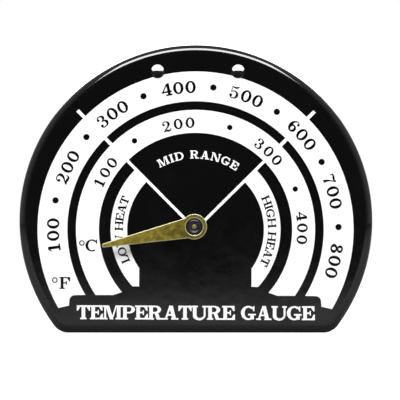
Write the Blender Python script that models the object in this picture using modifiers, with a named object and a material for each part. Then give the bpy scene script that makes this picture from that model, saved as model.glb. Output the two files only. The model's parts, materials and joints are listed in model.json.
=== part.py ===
"""Magnetic stove thermometer.

A D-shaped dish is pressed from steel sheet and carries the dial on its front. A spiral of bimetal strip
behind it turns an arbor that runs in a bush through the dish, and the arbor carries a brass pointer.
A bracket riveted inside the dish grips the bar magnet and anchors the outer end of the spiral.

The pieces are built in the dial's own frame, on the empty dial_datum: x to the right and y upwards as the
dial is read, z towards the reader, with z = 0 on the plane that lies against the stove and y = 0 level with
the arbor. The empty arbor_axis holds what is centred on the arbor, and pointer_axis what turns with it.
"""

import math

import bmesh
import bpy

MM = 0.001
TURN = 2 * math.pi

# Clearances
SEAT_GAP = 0.3 * MM  # between two pieces that are clamped or pressed together
RUNNING_GAP = 0.1 * MM  # round a shaft that turns
END_FLOAT = 0.3 * MM  # along a shaft that turns
SLOT_GAP = 0.25 * MM  # between the spiral's strip and the arbor's slot
COIL_GAP = 0.65 * MM  # between the arbor and the first turn of the spiral
BEND_GAP = 0.4 * MM  # between the bracket and the start of the dish's bend
STOVE_GAP = 0.6 * MM  # between the arbor's rear end and the stove

# Dish
CASE_RADIUS = 45.0 * MM  # of the arch
CASE_DROP = 28.5 * MM  # from the arch's centre down to the flat foot
CASE_DEPTH = 10.0 * MM
CASE_SHEET = 0.8 * MM
CASE_BEND = 3.0 * MM  # outer radius between the dial and the skirt
CORNER_RADIUS = 4.6 * MM  # between the arch and the foot
ARCH_RISE = 1.5 * MM  # of the arch's centre above the arbor
ARBOR_SHIFT = -0.4 * MM  # of the arbor from the dish's middle, to the right

# Bush, washers and arbor
BUSH_RADIUS = 2.3 * MM
BUSH_FLANGE_RADIUS = 3.2 * MM
BUSH_FLANGE = 0.5 * MM
WASHER_RADIUS = 2.9 * MM
WASHER_SHEET = 0.3 * MM
ARBOR_RADIUS = 1.25 * MM
ARBOR_REAR_RADIUS = 1.5 * MM  # where it is slotted for the spiral
ARBOR_TIP_RADIUS = 0.6 * MM
ARBOR_TIP_PROUD = 0.25 * MM
ARBOR_TIP_CROWN = 0.36 * MM  # radius of the low cone that ends the tip
ARBOR_TIP_FALL = 0.05 * MM  # from the cone's point to its edge
ARBOR_COLLAR_RADIUS = 2.0 * MM
ARBOR_COLLAR = 0.4 * MM
ARBOR_TAIL = 0.8 * MM  # behind the clip
GROOVE_DEPTH = 0.5 * MM
CLIP_RADIUS = 2.5 * MM
CLIP_SHEET = 0.4 * MM
CLIP_MOUTH = math.radians(50)

# Pointer and its collet
POINTER_ANGLE = math.radians(191.7)  # anticlockwise from the right, at room temperature
POINTER_LENGTH = 23.9 * MM
POINTER_SHEET = 0.6 * MM
POINTER_HUB_RADIUS = 3.25 * MM
POINTER_SHOULDER = 0.46 * MM  # from the hub's side in to the blade's edge, carried back to the arbor
POINTER_TIP = 0.94 * MM
POINTER_TIP_RADIUS = 0.35 * MM
COLLET_RADIUS = 1.85 * MM
COLLET_FLANGE_RADIUS = 2.9 * MM
COLLET_FLANGE = 0.35 * MM
COLLET_PROUD = 0.35 * MM
COLLET_ROUND = 0.3 * MM

# Bimetal spiral
STRIP_SHEET = 0.3 * MM
COIL_PITCH = 1.6 * MM  # at least this, from one turn to the next
COIL_BEND = 0.5 * MM  # where the inner end turns into the slot
COIL_DROP = 4.85 * MM  # from the magnet down to the spiral's outer end
ANCHOR_LENGTH = 4.8 * MM  # of the straight outer end

# Magnet
MAGNET_WIDTH = 26.0 * MM
MAGNET_HEIGHT = 16.0 * MM
MAGNET_DEPTH = 6.0 * MM
MAGNET_CHAMFER = 1.9 * MM  # along both sides of the face that meets the stove

# Bracket
BRACKET_SHEET = 0.8 * MM
BRACKET_BEND = 0.7 * MM  # radius of its folds, in the middle of the sheet
FOLD_INSET = 0.5 * MM  # from the floor's edge out to the start of a fold
FLANGE_MARGIN = 3.25 * MM  # outside the rivets
FLANGE_LAP = 3.4 * MM  # from the rivets down to the step
STEP_RUN = 1.6 * MM  # length of the sloping step between the flange and the floor
STEP_GAP = 1.6 * MM  # from the step down to the magnet
EAR_LENGTH = 12.0 * MM
LIP_LENGTH = 1.4 * MM
TAIL_WIDTH = 5.6 * MM
STOP_WIDTH = 4.5 * MM
STOP_SPACING = 17.0 * MM
STOP_REACH = 3.0 * MM

# Rivets
RIVET_DROP = 6.9 * MM  # from the crown of the arch down to the rivets
RIVET_SPACING = 20.5 * MM
RIVET_SHIFT = 0.5 * MM  # of the pair from the dish's middle, to the right
RIVET_RADIUS = 1.2 * MM
RIVET_HEAD_RADIUS = 1.8 * MM
RIVET_HEAD = 0.7 * MM
RIVET_TAIL_RADIUS = 2.0 * MM
RIVET_TAIL_END_RADIUS = 1.6 * MM
RIVET_TAIL = 0.7 * MM
ANCHOR_RIVET_RADIUS = 0.6 * MM
ANCHOR_HEAD_RADIUS = 1.25 * MM
ANCHOR_HEAD_END_RADIUS = 0.875 * MM
ANCHOR_HEAD = 0.4 * MM

# Smoothness
ARCH_STEPS = 72
CORNER_STEPS = 6
BEND_STEPS = 5
TURNED_STEPS = 32
COIL_STEPS = 24  # for each turn
FOLD_STEPS = 4
DOME_STEPS = 6
NOSE_STEPS = 3
SMOOTH_LIMIT = TURN / 12  # faces that meet at less than this are shaded as one
BEND_LIMIT = TURN / 6  # edges that are sharper than this are bent
WELD = 0.001 * MM

# Heights above the stove, from the dial inwards
CASE_INSIDE = CASE_DEPTH - CASE_SHEET
BUSH_FRONT = CASE_DEPTH + SEAT_GAP + BUSH_FLANGE
FRONT_WASHER_LOW = BUSH_FRONT + SEAT_GAP
COLLET_LOW = FRONT_WASHER_LOW + WASHER_SHEET + END_FLOAT
POINTER_LOW = COLLET_LOW + COLLET_FLANGE + SEAT_GAP
COLLET_TOP = POINTER_LOW + POINTER_SHEET + COLLET_PROUD
BUSH_REAR = CASE_INSIDE - SEAT_GAP - BUSH_FLANGE
REAR_WASHER_LOW = BUSH_REAR - SEAT_GAP - WASHER_SHEET
COLLAR_TOP = REAR_WASHER_LOW - END_FLOAT
COLLAR_LOW = COLLAR_TOP - ARBOR_COLLAR
COIL_FRONT = COLLAR_LOW - SEAT_GAP
CLIP_LOW = STOVE_GAP + ARBOR_TAIL
COIL_REAR = CLIP_LOW + CLIP_SHEET + SEAT_GAP
COIL_MIDDLE = (COIL_FRONT + COIL_REAR) / 2
FLANGE_FRONT = CASE_INSIDE - SEAT_GAP
FLANGE_MIDDLE = FLANGE_FRONT - BRACKET_SHEET / 2
FLOOR_REAR = MAGNET_DEPTH + SEAT_GAP
FLOOR_MIDDLE = FLOOR_REAR + BRACKET_SHEET / 2

# Places up the dial from the arbor, from the crown of the arch down
RIVET_RISE = CASE_RADIUS + ARCH_RISE - RIVET_DROP
STEP_TOP = RIVET_RISE - FLANGE_LAP
STEP_FOOT = STEP_TOP - STEP_RUN
MAGNET_TOP = STEP_FOOT - STEP_GAP
MAGNET_RISE = MAGNET_TOP - MAGNET_HEIGHT / 2
MAGNET_FOOT = MAGNET_TOP - MAGNET_HEIGHT
STOP_WALL = MAGNET_FOOT - SEAT_GAP - BRACKET_SHEET / 2
FLOOR_FOOT = STOP_WALL + BRACKET_BEND + FOLD_INSET
COIL_RISE = MAGNET_FOOT - COIL_DROP
ANCHOR_WALL = COIL_RISE + STRIP_SHEET / 2 + SEAT_GAP + BRACKET_SHEET / 2

PAINT = "black_enamel"
BRASS = "brass"
STEEL = "plated_steel"
BLACK_STEEL = "blackened_steel"
BIMETAL = "bimetal_strip"
FERRITE = "ferrite"
FINISHES = {  # colour, roughness, metallic
    PAINT: ((0.012, 0.012, 0.014, 1), 0.22, 0.0),
    BRASS: ((0.58, 0.47, 0.16, 1), 0.35, 1.0),
    STEEL: ((0.62, 0.62, 0.60, 1), 0.38, 1.0),
    BLACK_STEEL: ((0.06, 0.055, 0.07, 1), 0.35, 0.9),
    BIMETAL: ((0.50, 0.47, 0.42, 1), 0.32, 1.0),
    FERRITE: ((0.045, 0.045, 0.048, 1), 0.65, 0.0),
}


def clear_scene():
    for obj in list(bpy.data.objects):
        bpy.data.objects.remove(obj)


def collection(name):
    made = bpy.data.collections.new(name)
    bpy.context.scene.collection.children.link(made)
    return made


def finish(name):
    """The Principled material of that name, made once."""
    made = bpy.data.materials.get(name)
    if made is None:
        colour, roughness, metallic = FINISHES[name]
        made = bpy.data.materials.new(name)
        made.use_nodes = True
        shader = made.node_tree.nodes["Principled BSDF"]
        shader.inputs["Base Color"].default_value = colour
        shader.inputs["Roughness"].default_value = roughness
        shader.inputs["Metallic"].default_value = metallic
        made.diffuse_color = colour
    return made


def empty(name, parent=None):
    made = bpy.data.objects.new(name, None)
    made.empty_display_size = 5 * MM
    made.parent = parent
    parts.objects.link(made)
    return made


def place(obj, parent, material):
    """Makes obj a part on that parent, with its material, and smooth wherever it is round."""
    obj.data.shade_smooth()
    obj.data.set_sharp_from_angle(angle=SMOOTH_LIMIT)
    obj.parent = parent
    obj.data.materials.clear()
    obj.data.materials.append(finish(material))
    parts.objects.link(obj)
    return obj


def helper(obj, parent):
    """Makes obj a cutter, or a blank that is joined to a part."""
    obj.parent = parent
    obj.hide_render = True
    obj.display_type = "WIRE"
    helpers.objects.link(obj)
    return obj


def boolean(obj, other, operation):
    modifier = obj.modifiers.new(f"{operation.lower()} {other.name}", "BOOLEAN")
    modifier.operation = operation
    modifier.object = other


def arc(centre, radius, start, end, steps):
    """Points along an arc, both ends included."""
    turns = [start + (end - start) * i / steps for i in range(steps + 1)]
    return [(centre[0] + radius * math.cos(a), centre[1] + radius * math.sin(a)) for a in turns]


def rounded(points, radius, steps):
    """An open path with each of its inner corners turned into an arc."""
    path = [points[0]]
    for before, corner, after in zip(points, points[1:], points[2:]):
        into = math.atan2(corner[1] - before[1], corner[0] - before[0])
        out = math.atan2(after[1] - corner[1], after[0] - corner[0])
        bend = math.remainder(out - into, TURN)
        side = math.copysign(1, bend)
        back = radius * math.tan(abs(bend) / 2)
        start = (corner[0] - back * math.cos(into), corner[1] - back * math.sin(into))
        across = into + side * TURN / 4
        centre = (start[0] + radius * math.cos(across), start[1] + radius * math.sin(across))
        first = across + TURN / 2
        path += arc(centre, radius, first, first + bend, steps)
    return path + [points[-1]]


def flat_curve(name, outlines):
    """A 2D curve object made of closed outlines, an inner one being a hole."""
    curve = bpy.data.curves.new(name, "CURVE")
    curve.dimensions = "2D"
    curve.fill_mode = "BOTH"
    for outline in outlines:
        spline = curve.splines.new("POLY")
        spline.points.add(len(outline) - 1)
        for point, (x, y) in zip(spline.points, outline):
            point.co = (x, y, 0, 1)
        spline.use_cyclic_u = True
    return bpy.data.objects.new(name, curve)


def as_mesh(obj):
    """The evaluated shape as a mesh object, welded. The object it came from is removed."""
    bpy.context.scene.collection.objects.link(obj)
    bpy.context.view_layer.update()
    graph = bpy.context.evaluated_depsgraph_get()
    mesh = bpy.data.meshes.new_from_object(obj.evaluated_get(graph))
    name = obj.name
    matrix = obj.matrix_world.copy()
    bpy.data.objects.remove(obj)
    shape = bmesh.new()
    shape.from_mesh(mesh)
    bmesh.ops.remove_doubles(shape, verts=shape.verts, dist=WELD)
    bmesh.ops.recalc_face_normals(shape, faces=shape.faces)
    shape.to_mesh(mesh)
    shape.free()
    made = bpy.data.objects.new(name, mesh)
    made.matrix_world = matrix
    return made


def plate(name, outlines, low, high):
    """A flat piece between two heights."""
    obj = flat_curve(name, outlines)
    obj.data.extrude = (high - low) / 2
    obj.location.z = (low + high) / 2
    return as_mesh(obj)


def strip(name, path, width, sheet):
    """A sheet metal strip that stands on edge along an open path, its width along z."""
    curve = bpy.data.curves.new(name, "CURVE")
    curve.dimensions = "2D"
    curve.fill_mode = "NONE"
    curve.extrude = width / 2
    spline = curve.splines.new("POLY")
    spline.points.add(len(path) - 1)
    for point, (x, y) in zip(spline.points, path):
        point.co = (x, y, 0, 1)
    obj = bpy.data.objects.new(name, curve)
    solidify = obj.modifiers.new("sheet", "SOLIDIFY")
    solidify.thickness = sheet
    solidify.offset = 0
    solidify.use_even_offset = True
    return as_mesh(obj)


def turned(name, profile, closed=False):
    """A turned piece about z. The profile of (radius, height) runs down its outer side."""
    mesh = bpy.data.meshes.new(name)
    count = len(profile)
    edges = [(i, (i + 1) % count) for i in range(count if closed else count - 1)]
    mesh.from_pydata([(r, 0, z) for r, z in profile], edges, [])
    obj = bpy.data.objects.new(name, mesh)
    screw = obj.modifiers.new("turn", "SCREW")
    screw.steps = TURNED_STEPS
    screw.render_steps = TURNED_STEPS
    screw.use_merge_vertices = True
    screw.merge_threshold = WELD
    return as_mesh(obj)


def ring(name, outer, inner, low, high):
    return turned(name, [(outer, high), (outer, low), (inner, low), (inner, high)], closed=True)


def cylinder(name, radius, low, high, steps=TURNED_STEPS):
    """A plain round bar about z, for cutting."""
    shape = bmesh.new()
    size = {"radius1": radius, "radius2": radius, "depth": high - low}
    bmesh.ops.create_cone(shape, cap_ends=True, segments=steps, **size)
    mesh = bpy.data.meshes.new(name)
    shape.to_mesh(mesh)
    shape.free()
    obj = bpy.data.objects.new(name, mesh)
    obj.location.z = (low + high) / 2
    return obj


def block(name, low, high):
    """A box between two corners."""
    shape = bmesh.new()
    bmesh.ops.create_cube(shape, size=1)
    size = [b - a for a, b in zip(low, high)]
    bmesh.ops.scale(shape, vec=size, verts=shape.verts)
    mesh = bpy.data.meshes.new(name)
    shape.to_mesh(mesh)
    shape.free()
    obj = bpy.data.objects.new(name, mesh)
    obj.location = [(a + b) / 2 for a, b in zip(low, high)]
    return obj


def case_outline():
    """The D as the dial is read, anticlockwise from the right-hand end of its foot."""
    corner_drop = CASE_DROP - CORNER_RADIUS
    corner_out = math.sqrt((CASE_RADIUS - CORNER_RADIUS) ** 2 - corner_drop**2)
    low = -math.atan2(corner_drop, corner_out)
    right = (corner_out, ARCH_RISE - corner_drop)
    left = (-corner_out, ARCH_RISE - corner_drop)
    outline = arc(right, CORNER_RADIUS, -TURN / 4, low, CORNER_STEPS)
    outline += arc((0, ARCH_RISE), CASE_RADIUS, low, TURN / 2 - low, ARCH_STEPS)[1:]
    outline += arc(left, CORNER_RADIUS, TURN / 2 - low, TURN * 3 / 4, CORNER_STEPS)[1:]
    return outline


def rivet_places():
    return {"left": RIVET_SHIFT - RIVET_SPACING / 2, "right": RIVET_SHIFT + RIVET_SPACING / 2}


def make_case():
    """The pressed dish: a face and a skirt, bent and thickened, with its three holes."""
    shape = bmesh.new()
    rim = [shape.verts.new((x, y, CASE_DEPTH)) for x, y in case_outline()]
    face = shape.faces.new(rim)
    skirt = bmesh.ops.extrude_edge_only(shape, edges=face.edges[:])["geom"]
    for vert in skirt:
        if isinstance(vert, bmesh.types.BMVert):
            vert.co.z = 0
    bmesh.ops.recalc_face_normals(shape, faces=shape.faces)
    if face.normal.z < 0:
        bmesh.ops.reverse_faces(shape, faces=shape.faces)
    mesh = bpy.data.meshes.new("case_shell")
    shape.to_mesh(mesh)
    shape.free()
    dish = bpy.data.objects.new("case_shell", mesh)
    bend = dish.modifiers.new("bend", "BEVEL")
    bend.width = CASE_BEND
    bend.segments = BEND_STEPS
    bend.limit_method = "ANGLE"
    bend.angle_limit = BEND_LIMIT
    sheet = dish.modifiers.new("sheet", "SOLIDIFY")
    sheet.thickness = CASE_SHEET
    sheet.offset = -1
    sheet.use_even_offset = True
    case = place(as_mesh(dish), datum, PAINT)
    through = (CASE_INSIDE - CASE_SHEET, CASE_DEPTH + CASE_SHEET)
    bush_hole = cylinder("bush_hole", BUSH_RADIUS + SEAT_GAP, *through)
    boolean(case, helper(bush_hole, arbor_axis), "DIFFERENCE")
    for side, x in rivet_places().items():
        drill = helper(cylinder(f"case_rivet_hole_{side}", RIVET_RADIUS + SEAT_GAP, *through), datum)
        drill.location.x = x
        drill.location.y = RIVET_RISE
        boolean(case, drill, "DIFFERENCE")


def make_bush():
    """The bearing through the dish, one flange turned and the other spread over the sheet."""
    bore = ARBOR_RADIUS + RUNNING_GAP
    profile = [
        (BUSH_FLANGE_RADIUS, BUSH_FRONT),
        (BUSH_FLANGE_RADIUS, CASE_DEPTH + SEAT_GAP),
        (BUSH_RADIUS, CASE_DEPTH + SEAT_GAP),
        (BUSH_RADIUS, CASE_INSIDE - SEAT_GAP),
        (BUSH_FLANGE_RADIUS, CASE_INSIDE - SEAT_GAP),
        (BUSH_FLANGE_RADIUS, BUSH_REAR),
        (bore, BUSH_REAR),
        (bore, BUSH_FRONT),
    ]
    place(turned("case_bush", profile, closed=True), arbor_axis, BRASS)


def make_washers():
    bore = ARBOR_RADIUS + RUNNING_GAP
    for name, low in (("front_washer", FRONT_WASHER_LOW), ("rear_washer", REAR_WASHER_LOW)):
        parent = pointer_axis if name == "front_washer" else arbor_axis
        place(ring(name, WASHER_RADIUS, bore, low, low + WASHER_SHEET), parent, STEEL)


def make_arbor():
    """The turning shaft: a domed tip, a shoulder for the collet, a collar, a slotted rear and a groove."""
    groove = ARBOR_REAR_RADIUS - GROOVE_DEPTH
    tip_top = COLLET_TOP + ARBOR_TIP_PROUD
    shoulder = COLLET_LOW - SEAT_GAP
    profile = [
        (0, tip_top),
        (ARBOR_TIP_CROWN, tip_top - ARBOR_TIP_FALL),
        (ARBOR_TIP_RADIUS, COLLET_TOP),
        (ARBOR_TIP_RADIUS, shoulder),
        (ARBOR_RADIUS, shoulder),
        (ARBOR_RADIUS, COLLAR_TOP),
        (ARBOR_COLLAR_RADIUS, COLLAR_TOP),
        (ARBOR_COLLAR_RADIUS, COLLAR_LOW),
        (ARBOR_REAR_RADIUS, COLLAR_LOW),
        (ARBOR_REAR_RADIUS, COIL_REAR),
        (groove, COIL_REAR),
        (groove, CLIP_LOW - SEAT_GAP),
        (ARBOR_REAR_RADIUS, CLIP_LOW - SEAT_GAP),
        (ARBOR_REAR_RADIUS, STOVE_GAP),
        (0, STOVE_GAP),
    ]
    arbor = place(turned("arbor", profile), pointer_axis, BRASS)
    half_slot = STRIP_SHEET / 2 + SLOT_GAP
    low = (-2 * ARBOR_REAR_RADIUS, -half_slot, STOVE_GAP - ARBOR_TAIL)
    high = (2 * ARBOR_REAR_RADIUS, half_slot, COIL_FRONT + SEAT_GAP / 2)
    slot = helper(block("arbor_slot", low, high), pointer_axis)
    slot.rotation_euler.z = -POINTER_ANGLE
    boolean(arbor, slot, "DIFFERENCE")


def make_clip():
    """The open ring that snaps into the arbor's groove and keeps the spiral on."""
    inner = ARBOR_REAR_RADIUS - GROOVE_DEPTH + SEAT_GAP
    start, end = CLIP_MOUTH / 2, TURN - CLIP_MOUTH / 2
    outline = arc((0, 0), CLIP_RADIUS, start, end, TURNED_STEPS)
    outline += arc((0, 0), inner, end, start, TURNED_STEPS)
    place(plate("retaining_clip", [outline], CLIP_LOW, CLIP_LOW + CLIP_SHEET), pointer_axis, STEEL)


def make_collet():
    """The dark hub pressed into the pointer: a flange behind it and a rounded nose in front."""
    bore = ARBOR_TIP_RADIUS + SEAT_GAP
    centre = (COLLET_RADIUS - COLLET_ROUND, COLLET_TOP - COLLET_ROUND)
    nose = arc(centre, COLLET_ROUND, TURN / 4, 0, NOSE_STEPS)
    profile = nose + [
        (COLLET_RADIUS, COLLET_LOW + COLLET_FLANGE),
        (COLLET_FLANGE_RADIUS, COLLET_LOW + COLLET_FLANGE),
        (COLLET_FLANGE_RADIUS, COLLET_LOW),
        (bore, COLLET_LOW),
        (bore, COLLET_TOP),
    ]
    place(turned("pointer_collet", profile, closed=True), pointer_axis, BLACK_STEEL)


def pointer_outline():
    """The blade along +x and the round hub that it grows from."""
    root = POINTER_HUB_RADIUS - POINTER_SHOULDER
    tip = POINTER_TIP / 2
    slope = (root - tip) / POINTER_LENGTH
    # where the blade's edge, y = root - slope * x, cuts the hub's circle
    a = 1 + slope**2
    b = -2 * root * slope
    c = root**2 - POINTER_HUB_RADIUS**2
    x = (-b + math.sqrt(b * b - 4 * a * c)) / (2 * a)
    start = math.atan2(root - slope * x, x)
    hub = arc((0, 0), POINTER_HUB_RADIUS, start, TURN - start, TURNED_STEPS)
    end = [hub[-1], (POINTER_LENGTH, -tip), (POINTER_LENGTH, tip), hub[0]]
    return hub[1:] + rounded(end, POINTER_TIP_RADIUS, FOLD_STEPS)[1:]


def make_pointer():
    hole = arc((0, 0), COLLET_RADIUS + SEAT_GAP, 0, TURN, TURNED_STEPS)[:-1]
    blade = plate("pointer", [pointer_outline(), hole], POINTER_LOW, POINTER_LOW + POINTER_SHEET)
    place(blade, pointer_axis, BRASS)


def coil_path():
    """From the tongue in the arbor's slot, round the spiral, to the straight end at the anchor."""
    start_radius = ARBOR_REAR_RADIUS + COIL_GAP + STRIP_SHEET / 2
    end_radius = math.hypot(COIL_RISE, ANCHOR_LENGTH / 2)
    turns = (end_radius - start_radius) // COIL_PITCH
    sweep = turns * TURN + math.atan2(COIL_RISE, ANCHOR_LENGTH / 2)
    steps = round(COIL_STEPS * sweep / TURN)
    spiral = []
    for i in range(1, steps + 1):
        turn = sweep * i / steps
        radius = start_radius + (end_radius - start_radius) * i / steps
        spiral.append((radius * math.cos(turn), radius * math.sin(turn)))
    tongue = [(STRIP_SHEET - ARBOR_REAR_RADIUS, 0), (start_radius, 0), spiral[0]]
    outer_end = [(-ANCHOR_LENGTH / 2, COIL_RISE)]
    return rounded(tongue, min(COIL_BEND, spiral[0][1] / 2), FOLD_STEPS) + spiral[1:] + outer_end


def make_coil():
    coil = strip("bimetal_coil", coil_path(), COIL_FRONT - COIL_REAR, STRIP_SHEET)
    coil.location.z = COIL_MIDDLE
    place(coil, arbor_axis, BIMETAL)
    boolean(coil, anchor_hole("coil_anchor_hole", COIL_RISE), "DIFFERENCE")


def anchor_hole(name, height):
    """A cutter for the anchor rivet, through a wall at that height above the arbor."""
    drill = cylinder(name, ANCHOR_RIVET_RADIUS + SEAT_GAP, -BRACKET_SHEET, BRACKET_SHEET)
    drill.rotation_euler.x = TURN / 4
    drill.location = (0, height, COIL_MIDDLE)
    return helper(drill, arbor_axis)


def make_magnet():
    """The bar magnet. Both sides of its rear face are chamfered for the bracket's lips."""
    half = MAGNET_WIDTH / 2
    flat = half - MAGNET_CHAMFER
    section = [(-flat, 0), (flat, 0), (half, MAGNET_CHAMFER), (half, MAGNET_DEPTH)]
    section += [(-half, MAGNET_DEPTH), (-half, MAGNET_CHAMFER)]
    magnet = plate("bar_magnet", [section], -MAGNET_HEIGHT / 2, MAGNET_HEIGHT / 2)
    magnet.rotation_euler.x = TURN / 4
    magnet.location = (0, MAGNET_RISE, 0)
    place(magnet, datum, FERRITE)


def panel(shape, rows):
    """A grid of faces through rows that hold the same number of points."""
    grid = [[shape.verts.new(point) for point in row] for row in rows]
    for above, below in zip(grid, grid[1:]):
        for i in range(len(above) - 1):
            shape.faces.new((above[i], above[i + 1], below[i + 1], below[i]))


def bracket_body(shape, stop_edges):
    """Flange, sloping step and floor, split where the ears, the tail and the stops join on."""
    path = [(CASE_RADIUS, FLANGE_MIDDLE), (STEP_TOP, FLANGE_MIDDLE)]
    path += [(STEP_FOOT, FLOOR_MIDDLE), (FLOOR_FOOT, FLOOR_MIDDLE)]
    path = rounded(path, BRACKET_BEND, FOLD_STEPS)
    ears = [(MAGNET_RISE + EAR_LENGTH / 2, FLOOR_MIDDLE), (MAGNET_RISE - EAR_LENGTH / 2, FLOOR_MIDDLE)]
    path[-1:] = ears + path[-1:]
    tail = [ARBOR_SHIFT - TAIL_WIDTH / 2, ARBOR_SHIFT + TAIL_WIDTH / 2]
    inner = sorted(stop_edges + tail)
    rows = []
    for y, z in path:
        half = flange_half() if y > STEP_FOOT + STEP_RUN / 2 else floor_half()
        rows.append([(x, y, z) for x in [-half] + inner + [half]])
    panel(shape, rows)


def flange_half():
    return RIVET_SPACING / 2 + FLANGE_MARGIN


def floor_half():
    return MAGNET_WIDTH / 2 + SEAT_GAP + BRACKET_SHEET / 2 - BRACKET_BEND - FOLD_INSET


def bracket_ear(shape, side):
    """One side of the magnet's grip: a wall and a lip folded over the magnet's chamfer."""
    wall = floor_half() + FOLD_INSET + BRACKET_BEND
    crease = wall - MAGNET_WIDTH / 2 + MAGNET_CHAMFER - math.sqrt(2) * (SEAT_GAP + BRACKET_SHEET / 2)
    lip = LIP_LENGTH / math.sqrt(2)
    path = [(floor_half(), FLOOR_MIDDLE), (wall, FLOOR_MIDDLE), (wall, crease), (wall - lip, crease - lip)]
    ends = (MAGNET_RISE - EAR_LENGTH / 2, MAGNET_RISE + EAR_LENGTH / 2)
    panel(shape, [[(side * x, y, z) for y in ends] for x, z in rounded(path, BRACKET_BEND, FOLD_STEPS)])


def bracket_flap(shape, left, right, wall, end):
    """A flap that runs on down from the floor and is folded back towards the stove."""
    path = [(FLOOR_FOOT, FLOOR_MIDDLE), (wall, FLOOR_MIDDLE), (wall, end)]
    panel(shape, [[(x, y, z) for x in (left, right)] for y, z in rounded(path, BRACKET_BEND, FOLD_STEPS)])


def make_bracket():
    """The one-piece pressing that grips the magnet and anchors the spiral."""
    shape = bmesh.new()
    stop_edges = [STOP_SPACING / 2 - STOP_WIDTH / 2, STOP_SPACING / 2 + STOP_WIDTH / 2]
    bracket_body(shape, stop_edges + [-x for x in stop_edges])
    for side in (-1, 1):
        bracket_ear(shape, side)
        bracket_flap(shape, *sorted(side * x for x in stop_edges), STOP_WALL, FLOOR_REAR - STOP_REACH)
    tail = (ARBOR_SHIFT - TAIL_WIDTH / 2, ARBOR_SHIFT + TAIL_WIDTH / 2)
    bracket_flap(shape, *tail, ANCHOR_WALL, COIL_REAR)
    bmesh.ops.remove_doubles(shape, verts=shape.verts, dist=WELD)
    bmesh.ops.recalc_face_normals(shape, faces=shape.faces)
    mesh = bpy.data.meshes.new("magnet_bracket")
    shape.to_mesh(mesh)
    shape.free()
    folded = bpy.data.objects.new("magnet_bracket", mesh)
    sheet = folded.modifiers.new("sheet", "SOLIDIFY")
    sheet.thickness = BRACKET_SHEET
    sheet.offset = 0
    sheet.use_even_offset = True
    bracket = place(as_mesh(folded), datum, STEEL)
    reach = CASE_RADIUS - CASE_BEND - BEND_GAP
    trim = helper(cylinder("flange_trim", reach, -CASE_DEPTH, 2 * CASE_DEPTH, 2 * ARCH_STEPS), datum)
    trim.location.y = ARCH_RISE
    boolean(bracket, trim, "INTERSECT")
    through = (FLANGE_FRONT - 2 * BRACKET_SHEET, FLANGE_FRONT + BRACKET_SHEET)
    for side, x in rivet_places().items():
        drill = helper(cylinder(f"flange_rivet_hole_{side}", RIVET_RADIUS + SEAT_GAP, *through), datum)
        drill.location.x = x
        drill.location.y = RIVET_RISE
        boolean(bracket, drill, "DIFFERENCE")
    boolean(bracket, anchor_hole("ear_anchor_hole", ANCHOR_WALL), "DIFFERENCE")


def dome(radius, rise, base):
    """The profile of a domed head, from its crown down to its rim."""
    sphere = (radius**2 + rise**2) / (2 * rise)
    half_angle = math.asin(min(1, radius / sphere))
    angles = [half_angle * i / DOME_STEPS for i in range(DOME_STEPS + 1)]
    return [(sphere * math.sin(a), base + rise - sphere * (1 - math.cos(a))) for a in angles]


def make_rivets():
    """The two rivets that hold the bracket: domed in front, spread flat behind."""
    head_base = CASE_DEPTH + SEAT_GAP
    tail_top = FLANGE_FRONT - BRACKET_SHEET - SEAT_GAP
    profile = dome(RIVET_HEAD_RADIUS, RIVET_HEAD, head_base) + [
        (RIVET_RADIUS, head_base),
        (RIVET_RADIUS, tail_top),
        (RIVET_TAIL_RADIUS, tail_top),
        (RIVET_TAIL_END_RADIUS, tail_top - RIVET_TAIL),
        (0, tail_top - RIVET_TAIL),
    ]
    for side, x in rivet_places().items():
        rivet = place(turned(f"bracket_rivet_{side}", profile), datum, PAINT)
        rivet.location = (x, RIVET_RISE, 0)


def make_anchor_rivet():
    """The small rivet through the spiral's outer end and the bracket's ear."""
    inner = COIL_RISE - STRIP_SHEET / 2 - SEAT_GAP
    outer = ANCHOR_WALL + BRACKET_SHEET / 2 + SEAT_GAP
    profile = [
        (0, outer + ANCHOR_HEAD),
        (ANCHOR_HEAD_END_RADIUS, outer + ANCHOR_HEAD),
        (ANCHOR_HEAD_RADIUS, outer),
        (ANCHOR_RIVET_RADIUS, outer),
        (ANCHOR_RIVET_RADIUS, inner),
        (ANCHOR_HEAD_RADIUS, inner),
        (ANCHOR_HEAD_END_RADIUS, inner - ANCHOR_HEAD),
        (0, inner - ANCHOR_HEAD),
    ]
    rivet = place(turned("coil_anchor_rivet", profile), arbor_axis, STEEL)
    rivet.rotation_euler.x = -TURN / 4
    rivet.location.z = COIL_MIDDLE


clear_scene()
parts = collection("stove_thermometer")
helpers = collection("cutters")
datum = empty("dial_datum")
datum.location.z = -MAGNET_RISE
datum.rotation_euler.x = TURN / 4
arbor_axis = empty("arbor_axis", datum)
arbor_axis.location.x = ARBOR_SHIFT
pointer_axis = empty("pointer_axis", arbor_axis)
pointer_axis.rotation_euler.z = POINTER_ANGLE

make_case()
make_bush()
make_washers()
make_arbor()
make_clip()
make_collet()
make_pointer()
make_coil()
make_magnet()
make_bracket()
make_rivets()
make_anchor_rivet()
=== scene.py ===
import json
import math

import bmesh
import bpy
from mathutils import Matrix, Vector
from mathutils.geometry import delaunay_2d_cdt


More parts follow.
